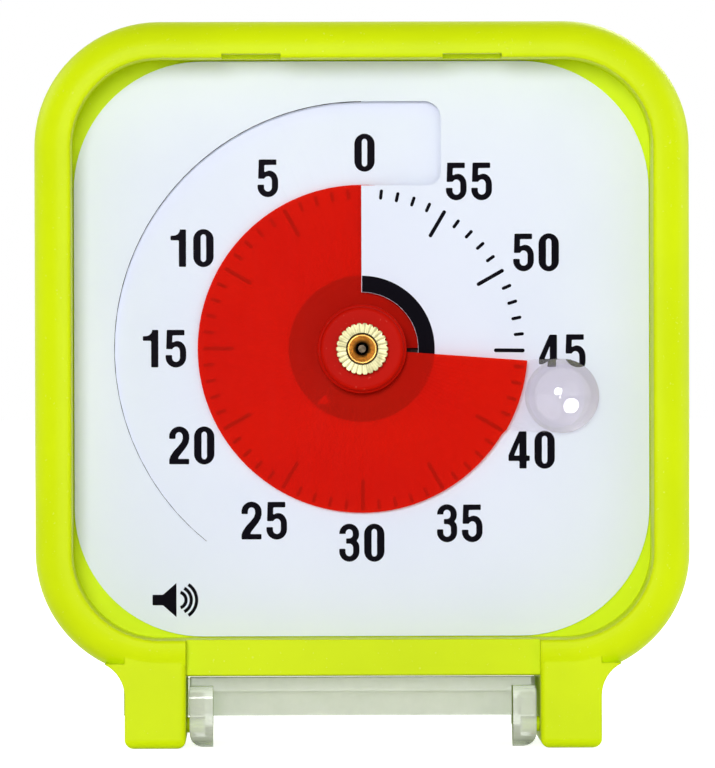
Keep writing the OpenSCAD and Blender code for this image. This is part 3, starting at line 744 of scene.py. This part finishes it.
# On the nut and on the arbor the darkened ring is the joint between them: partly oil, partly
# painted shade.
NUT_BRASS = Metal(
    "nut_brass_look", (176, 172, 134), (116, 110, 76), Tooling.RIDGED, 0.4, 0.05 * MM,
    grime=(1.2 * MM, 1.86 * MM),
)
BRASS = Metal("brass_look", (206, 190, 122), (182, 164, 98), Tooling.BRUSHED)
TUBE_BRASS = Metal(
    "tube_brass_look", (196, 150, 78), (130, 88, 36), Tooling.TURNED, grime=(1.62 * MM, 3 * MM),
)
STEEL = Metal("steel_look", (196, 198, 202), (168, 170, 176), Tooling.BRUSHED)
# Painted shade: the pin's steel is darkened so that it reads as the shade deep in the arbor's
# bore.
SHADED_PIN_STEEL = Metal("shaded_pin_steel_look", (62, 54, 44), (36, 30, 24), Tooling.TURNED, 0.2)
SOFT_IRON = Metal("soft_iron_look", (150, 152, 158), (122, 124, 130), Tooling.PLAIN, 0.4)
BLACK = Moulded("black_plastic_look", (30, 31, 34), (24, 25, 28), (78, 78, 80), 0.45)
ACETAL = Moulded("acetal_look", (226, 226, 220), (214, 214, 208), (238, 238, 234), 0.38)
MAGNET = Moulded("magnet_look", (62, 62, 68), (50, 50, 56), (96, 96, 100), 0.5)
COPPER = Winding("copper_wire_look", (200, 108, 48), (92, 40, 16))
BOARD = Board("circuit_board_look", (28, 92, 50), (60, 130, 70))
CELL = CellWrap("cell_wrap_look", (34, 36, 42), (176, 116, 58), (200, 202, 206))


# Mesh helpers


def mesh_piece(name: str, bm: bmesh.types.BMesh, body: str) -> bpy.types.Object:
    """Makes an object of a mesh and hangs it on a body.

    Args:
        name: Name of the piece.
        bm: Its mesh, in metres in the frame; freed here.
        body: The body that it rides on.

    Returns:
        The new object.
    """
    bmesh.ops.recalc_face_normals(bm, faces=bm.faces)
    mesh = bpy.data.meshes.new(name)
    bm.to_mesh(mesh)
    bm.free()
    piece = bpy.data.objects.new(name, mesh)
    bpy.context.scene.collection.objects.link(piece)
    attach(piece, body)
    return piece


def arc(centre: Point, radii: Point, start: float, end: float, steps: int = 10) -> Outline:
    """Makes points along an ellipse.

    Args:
        centre: Its centre.
        radii: Its two radii.
        start: Angle of the first point in degrees, anticlockwise from +X.
        end: Angle of the last point.
        steps: Number of chords.

    Returns:
        The points from start to end.
    """
    turns = [math.radians(start + (end - start) * i / steps) for i in range(steps + 1)]
    return [
        (centre[0] + radii[0] * math.cos(t), centre[1] + radii[1] * math.sin(t))
        for t in turns
    ]


# A corner stays sharp where it bends by less than this, or a side has fewer cuts than this
LEAST_BEND = math.radians(40)
LEAST_SIDE = 2.2


def softened(outline: Outline, cut: float) -> Outline:
    """Takes the point off each sharp corner of a closed outline.

    Args:
        outline: The outline's points.
        cut: How far along each side the corner is cut.

    Returns:
        The outline with three points for each sharp corner.
    """
    made: Outline = []
    count = len(outline)
    for i, here in enumerate(outline):
        p = Vector(here)
        back = Vector(outline[i - 1]) - p
        ahead = Vector(outline[(i + 1) % count]) - p
        short = min(back.length, ahead.length) < LEAST_SIDE * cut
        if short or back.angle(-ahead) < LEAST_BEND:
            made.append(here)
            continue
        a, b = p + back.normalized() * cut, p + ahead.normalized() * cut
        middle = ((a + b) / 2 + p) / 2
        made.extend([tuple(a), tuple(middle), tuple(b)])
    return made


@dataclass
class Glyphs:
    """Condensed bold numerals on a grid, with x to the right and z up from the baseline."""

    height: float = 37.5
    gap: float = 4.7
    corner: float = 0.9

    def zero(self) -> tuple[float, list[Outline]]:
        """Draws 0.

        Returns:
            Its width, and its outer outline and any hole.
        """
        outer = arc((10.2, 27.2), (10.2, 10.6), 0, 180, 16)
        outer += arc((10.2, 10.3), (10.2, 10.6), 180, 360, 16)
        hole = arc((10.2, 29.4), (2.7, 3.2), 0, 180) + arc((10.2, 8.1), (2.7, 3.2), 180, 360)
        return 20.4, [outer, hole]

    def one(self) -> tuple[float, list[Outline]]:
        """Draws 1.

        Returns:
            Its width, and its outer outline and any hole.
        """
        flag = arc((3.2, 37.5), (6.6, 6.2), 0, -90, 6)
        outer = [(8.7, 0), (15.9, 0), (15.9, 37.5), *flag, (0.4, 31.3), (0.4, 26.6), (8.7, 26.6)]
        return 18.4, [outer]

    def two(self) -> tuple[float, list[Outline]]:
        """Draws 2.

        Returns:
            Its width, and its outer outline and any hole.
        """
        outer = [(0, 25.4)] + arc((10.1, 27.7), (10.1, 10.1), 180, 0, 16)
        outer += [(20.2, 25.2), (19.2, 21.0), (16.6, 16.4), (12.6, 11.4), (9.8, 7.8), (8.8, 5.4)]
        outer += [(20.0, 5.4), (20.0, 0), (0, 0), (0, 4.6), (1.4, 8.4), (4.6, 13.2), (9.2, 18.2)]
        outer += [(12.4, 22.2), (13.6, 25.6)]
        outer += arc((10.0, 28.1), (3.6, 4.0), 0, 180, 10) + [(6.4, 25.4)]
        return 20.2, [outer]

    def three(self) -> tuple[float, list[Outline]]:
        """Draws 3.

        Returns:
            Its width, and its outer outline and any hole.
        """
        outer = [(0, 27.6)] + arc((10.0, 28.0), (9.9, 9.8), 180, 0, 16)
        outer += [(19.9, 26.4), (19.2, 23.4), (17.4, 20.6), (19.4, 18.2), (20.2, 15.0)]
        outer += arc((10.1, 10.0), (10.1, 10.2), 0, -180, 16) + [(0, 12.8), (6.3, 12.8)]
        outer += arc((10.1, 9.4), (3.8, 4.1), 180, 360, 10)
        outer += [(13.9, 14.2), (13.1, 16.6), (11.0, 17.8), (6.9, 17.9), (6.9, 23.1)]
        outer += [(10.6, 23.2), (12.8, 24.2), (13.6, 26.4)]
        outer += arc((10.0, 28.4), (3.6, 3.9), 0, 180, 10) + [(6.4, 27.6)]
        return 20.2, [outer]

    def four(self) -> tuple[float, list[Outline]]:
        """Draws 4.

        Returns:
            Its width, and its outer outline and any hole.
        """
        outer = [(10.9, 0), (18.1, 0), (18.1, 7.5), (21.3, 7.5), (21.3, 12.9), (18.1, 12.9)]
        outer += [(18.1, 37.2), (10.6, 37.2), (0, 13.4), (0, 7.5), (10.9, 7.5)]
        hole = [(5.6, 12.9), (10.9, 12.9), (10.9, 25.6)]
        return 21.3, [outer, hole]

    def five(self) -> tuple[float, list[Outline]]:
        """Draws 5.

        Returns:
            Its width, and its outer outline and any hole.
        """
        outer = [(1.3, 37.5), (19.0, 37.5), (19.0, 32.0), (7.0, 32.0), (6.8, 25.3)]
        outer += arc((12.0, 15.5), (8.7, 10.9), 118, 0, 10)
        outer += arc((10.35, 10.3), (10.35, 10.5), 0, -180, 16) + [(0, 12.3), (6.6, 12.3)]
        outer += arc((10.5, 9.6), (3.9, 4.2), 180, 360, 10)
        outer += arc((10.5, 16.2), (3.9, 4.5), 0, 140, 8) + [(6.6, 18.2), (0.7, 18.2)]
        return 20.7, [outer]

    def outlines(self, number: int, centre: Point, unit: float) -> list[list[Outline]]:
        """Lays out a number.

        Args:
            number: The number to print.
            centre: Its middle, in metres from the dial's centre.
            unit: Metres for one unit of the grid.

        Returns:
            For each digit its outer outline and its holes, in metres.
        """
        drawn = [self.zero, self.one, self.two, self.three, self.four, self.five]
        digits = [drawn[int(c)]() for c in str(number)]
        width = sum(w for w, _ in digits) + self.gap * (len(digits) - 1)
        left = -width / 2
        placed = []
        for w, shapes in digits:
            placed.append([
                [
                    (centre[0] + (left + x) * unit, centre[1] + (z - self.height / 2) * unit)
                    for x, z in softened(shape, self.corner)
                ]
                for shape in shapes
            ])
            left += w + self.gap
        return placed


# Sub-assemblies


@dataclass
class DialPrint:
    """Print on the white dial: numbers, minute marks, hub ring and sound sign.

    Outlines are in (x, z) from the dial's centre. The strip of the dial inside the arc cut
    ramps back by drop, from a root behind the flat part, and is level in the window at the
    right of 12 o'clock. It starts at the clock angle ramp_start, in degrees.
    """

    # Height of the ink in front of the dial, and how far it reaches into it
    ink: float = 0.02 * MM
    sink: float = 0.015 * MM
    arc_r: float = 28.8 * MM
    ramp_start: float = 219.0
    root: float = 0.02 * MM
    drop: float = 1.2 * MM
    # Right edge and lower edge of the window
    window: Point = (9.3 * MM, 19.06 * MM)
    # One unit of the grid that numbers and sign are drawn on
    grid: float = MM / 8.57
    # The minute marks are printed a little off the centre and turned by some degrees
    marks_at: Point = (0.24 * MM, -0.09 * MM)
    marks_turn: float = 0.5
    marks_out: float = 18.8 * MM
    # Length and width of each kind of mark
    fifth_mark: Point = (3.6 * MM, 0.44 * MM)
    minute_mark: Point = (1.2 * MM, 0.38 * MM)
    # Inner and outer radius of the ring, and half its opening at the slit in degrees
    ring: Point = (6.62 * MM, 8.53 * MM)
    slit: float = 0.4
    # Sound sign in grid units: its place, the waves' centre, each wave's radius and half
    # spread in degrees, and half a wave's width
    sign_at: Point = (-210.0, -251.0)
    wave_at: Point = (25.5, 0)
    waves: tuple[Point, ...] = ((8.05, 72), (13.3, 62), (18.65, 56))
    wave_half: float = 1.65
    # Middle of each number in millimetres
    numbers_at: dict[int, Point] = field(default_factory=lambda: {
        0: (0.4, 22.91), 5: (-10.91, 19.95), 10: (-19.8, 11.8), 15: (-23.05, 0.07),
        20: (-19.87, -11.25), 25: (-11.43, -20.05), 30: (-0.04, -22.66), 35: (11.4, -20.42),
        40: (19.82, -11.85), 45: (23.42, -0.57), 50: (20.39, 11.2), 55: (12.57, 19.51),
    })
    face: float = field(init=False)

    def __post_init__(self) -> None:
        """Reads the Y of the dial's flat face from the frame."""
        self.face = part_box("dial_plate")[0].y

    def depth(self, x: float, z: float) -> float:
        """Finds the dial's face.

        Args:
            x: Place to the right of its centre.
            z: Place above its centre.

        Returns:
            Y of the face there.
        """
        angle = math.degrees(math.atan2(x, z)) % 360
        if math.hypot(x, z) > self.arc_r:
            return self.face
        if 0 <= x < self.window[0] and z > self.window[1]:
            return self.face + self.root + self.drop
        if angle < self.ramp_start:
            return self.face
        share = (angle - self.ramp_start) / (360 - self.ramp_start)
        return self.face + self.root + self.drop * share

    def raised(self, bm: bmesh.types.BMesh, outlines: list[Outline]) -> None:
        """Adds one closed patch of ink to the mesh.

        Args:
            bm: The mesh that grows.
            outlines: The patch's outer outline and its holes.
        """
        flat = [[Vector((x, z, 0)) for x, z in outline] for outline in outlines]
        triangles = tessellate_polygon(flat)
        points = [p for outline in outlines for p in outline]
        layers = []
        for offset in (-self.ink, self.sink):
            layers.append([
                bm.verts.new((x, self.depth(x, z) + offset, z + DIAL_Z)) for x, z in points
            ])
        front, back = layers
        for triangle in triangles:
            bm.faces.new([front[i] for i in triangle])
            bm.faces.new([back[i] for i in reversed(triangle)])
        start = 0
        for outline in outlines:
            count = len(outline)
            for i in range(count):
                a, b = start + i, start + (i + 1) % count
                bm.faces.new([front[a], front[b], back[b], back[a]])
            start += count

    def numbers(self) -> bpy.types.Object:
        """Prints the numbers 0 to 55, anticlockwise.

        Returns:
            The new piece.
        """
        bm = bmesh.new()
        glyphs = Glyphs()
        for minute, (x, z) in self.numbers_at.items():
            for digit in glyphs.outlines(minute, (x * MM, z * MM), self.grid):
                self.raised(bm, digit)
        return mesh_piece("dial_numbers", bm, "case")

    def mark(self, angle: float, inner: float, outer: float, width: float) -> Outline:
        """Draws a round-ended minute mark.

        Args:
            angle: Its clock angle.
            inner: Radius of its inner end.
            outer: Radius of its outer end.
            width: Its width.

        Returns:
            Its outline.
        """
        half = width / 2
        upright = arc((0, outer - half), (half, half), 0, 180, 8)
        upright += arc((0, inner + half), (half, half), 180, 360, 8)
        turn = math.radians(angle)
        cos, sin = math.cos(turn), math.sin(turn)
        right, up = self.marks_at
        return [(right + x * cos + z * sin, up + z * cos - x * sin) for x, z in upright]

    def marks(self) -> bpy.types.Object:
        """Prints a mark for each minute but 0, longer and heavier at each fifth.

        Returns:
            The new piece.
        """
        bm = bmesh.new()
        for minute in range(1, 60):
            length, width = self.minute_mark if minute % 5 else self.fifth_mark
            angle = self.marks_turn - 6 * minute
            inner = self.marks_out - length
            self.raised(bm, [self.mark(angle, inner, self.marks_out, width)])
        return mesh_piece("dial_marks", bm, "case")

    def hub_ring(self) -> bpy.types.Object:
        """Prints the black ring round the hub, open at the slit.

        Returns:
            The new piece.
        """
        bm = bmesh.new()
        inner, outer = ((r, r) for r in self.ring)
        start, end = 90 - self.slit, self.slit - 270
        band = arc((0, 0), outer, start, end, 120) + arc((0, 0), inner, end, start, 120)
        self.raised(bm, [band])
        return mesh_piece("dial_ring", bm, "case")

    def sound_sign(self) -> bpy.types.Object:
        """Prints a plain loudspeaker sign with three waves at the lower left.

        Returns:
            The new piece.
        """
        bm = bmesh.new()
        left, middle = self.sign_at
        horn = [(0, -5.3), (10.5, -5.3), (24, -17.2), (24, 17.2), (10.5, 5.3), (0, 5.3)]
        shapes = [softened(horn, 0.8)]
        for radius, spread in self.waves:
            inner, outer = radius - self.wave_half, radius + self.wave_half
            band = arc(self.wave_at, (outer, outer), -spread, spread, 16)
            shapes.append(band + arc(self.wave_at, (inner, inner), spread, -spread, 16))
        for shape in shapes:
            placed = [((left + x) * self.grid, (middle + z) * self.grid) for x, z in shape]
            self.raised(bm, [placed])
        return mesh_piece("sound_sign", bm, "case")

    def build(self) -> list[bpy.types.Object]:
        """Builds and dresses the print.

        Returns:
            Its pieces.
        """
        pieces = [self.numbers(), self.marks(), self.hub_ring(), self.sound_sign()]
        INK.dress(*pieces)
        return pieces


@dataclass
class CadFinishes:
    """Finishes of the CAD nodes that keep their own shape."""

    finishes: dict[str, Finish] = field(default_factory=lambda: {
        "front_frame": LIME, "rear_cover": LIME, "battery_door": LIME,
        "case_screws": STEEL, "plate_screws": STEEL, "washer": STEEL,
        "arbor_pin": SHADED_PIN_STEEL, "quartz_crystal": STEEL, "contact_positive": STEEL,
        "contact_spring": STEEL, "stator": SOFT_IRON, "clear_cover": CLEAR_LID,
        "dial_plate": CARD, "red_film": FILM, "pull_tab": CLEAR_KNOB, "pull_knob": CLEAR_KNOB,
        "hub_flange": HUB_RED, "hub_cap": HUB_RED, "knurled_nut": NUT_BRASS, "arbor": TUBE_BRASS,
        "threaded_bushing": BRASS, "hex_nut": BRASS, "centre_wheel": BRASS, "buzzer": BRASS,
        "mount_plate": BLACK, "switch_body": BLACK, "sound_slider": BLACK, "rotor": MAGNET,
        "movement_front": ACETAL, "movement_rear": ACETAL, "middle_plate": ACETAL,
        "third_wheel": ACETAL, "fourth_wheel": ACETAL, "coil_bobbin": ACETAL,
        "coil_winding": COPPER, "circuit_board": BOARD, "aa_cell": CELL,
    })

    def dress(self) -> None:
        """Puts each finish on its node."""
        for name, finish in self.finishes.items():
            finish.dress(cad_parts[name])
            LOG.info("dressed %s in %s", name, finish.name)


@dataclass(frozen=True)
class Lamp:
    """One round soft lamp, in metres and watts, aimed at the dial's height."""

    name: str
    place: tuple[float, float, float]
    size: float
    power: float

    def build(self, aim_z: float) -> None:
        """Adds the lamp to the scene.

        Args:
            aim_z: Height of the point over the origin that it is aimed at.
        """
        data = bpy.data.lights.new(self.name, "AREA")
        data.shape = "DISK"
        data.size = self.size
        data.energy = self.power
        lamp = bpy.data.objects.new(self.name, data)
        lamp.location = self.place
        aim = Vector((0, 0, aim_z)) - lamp.location
        lamp.rotation_euler = aim.to_track_quat("-Z", "Y").to_euler()
        bpy.context.scene.collection.objects.link(lamp)


LAMPS = (
    Lamp("key_lamp", (-0.16, -1.3, 0.28), 0.4, 9.4),
    Lamp("fill_lamp", (0.5, -1.2, 0.35), 0.9, 1.6),
    Lamp("back_lamp", (0.5, 1.2, 0.8), 0.8, 8.5),
    Lamp("left_lamp", (-1.1, 0.4, 0.6), 0.8, 6.0),
    Lamp("right_lamp", (1.2, 0.2, 0.4), 0.8, 6.0),
)


@dataclass
class Studio:
    """White table, soft lamps and the camera.

    ambient is the world's light on the scene, and glow is the light that the floor adds to
    its own so that it is white to the eye. The camera stands distance in front of the case.
    """

    floor_half: float = 3.0
    floor_grey: float = 0.82
    floor_drop: float = 0.05 * MM
    ambient: float = 0.2
    glow: float = 0.87
    distance: float = 0.95
    eye_x: float = -10 * MM
    eye_z: float = 50 * MM
    aim: Point = (-0.585 * MM, 42.25 * MM)
    roll: float = -0.15
    lens: float = 384.8

    def floor(self) -> None:
        """A pale floor that is white to the eye and keeps the shadow."""
        bm = bmesh.new()
        bmesh.ops.create_grid(bm, x_segments=1, y_segments=1, size=self.floor_half)
        mesh = bpy.data.meshes.new("table_top")
        bm.to_mesh(mesh)
        bm.free()
        table = bpy.data.objects.new("table_top", mesh)
        table.location.z = -self.floor_drop
        bpy.context.scene.collection.objects.link(table)
        material = bpy.data.materials.new("table_look")
        graph = Graph(material, "OutputMaterial")
        grey = (self.floor_grey, self.floor_grey, self.floor_grey, 1)
        plain = graph.node("BsdfDiffuse", None, {"Color": grey}).outputs[0]
        shine = graph.node("Emission", None, {"Strength": self.glow}).outputs[0]
        lifted = graph.node("AddShader", None, {0: plain, 1: shine}).outputs[0]
        seen = graph.light_path(*SEEN_RAYS)
        graph.join(graph.end.inputs["Surface"], graph.blend(seen, plain, lifted))
        mesh.materials.append(material)

    def world(self) -> None:
        """Even light, white where it is seen."""
        world = bpy.data.worlds.new("studio_air")
        bpy.context.scene.world = world
        graph = Graph(world, "OutputWorld")
        dim, bright = (
            graph.node("Background", None, {"Color": WHITE, "Strength": strength}).outputs[0]
            for strength in (self.ambient, 1.0)
        )
        seen = graph.light_path(*SEEN_RAYS)
        graph.join(graph.end.inputs["Surface"], graph.blend(seen, dim, bright))

    def camera(self) -> None:
        """The camera at the photograph's viewing angle."""
        data = bpy.data.cameras.new("camera")
        data.lens = self.lens
        data.clip_start = 0.05
        camera = bpy.data.objects.new("camera", data)
        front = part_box("front_frame")[0].y
        camera.location = (self.eye_x, front - self.distance, self.eye_z)
        aim = Vector((self.aim[0], front, self.aim[1])) - camera.location
        turn = Quaternion((0, 0, 1), math.radians(self.roll))
        camera.rotation_euler = (aim.to_track_quat("-Z", "Y") @ turn).to_euler()
        bpy.context.scene.collection.objects.link(camera)
        bpy.context.scene.camera = camera

    def build(self) -> None:
        """Builds the floor, air, lamps and camera."""
        bpy.context.scene.view_settings.view_transform = "Standard"
        self.floor()
        self.world()
        for lamp in LAMPS:
            lamp.build(self.aim[1])
        self.camera()


def main() -> None:
    logging.basicConfig(level=logging.INFO, format="%(name)s: %(message)s")
    CadFinishes().dress()
    for piece in DialPrint().build():
        LOG.info("built %s", piece.name)
    Studio().build()
    LOG.info("built the studio")


if __name__ == "__main__":
    main()
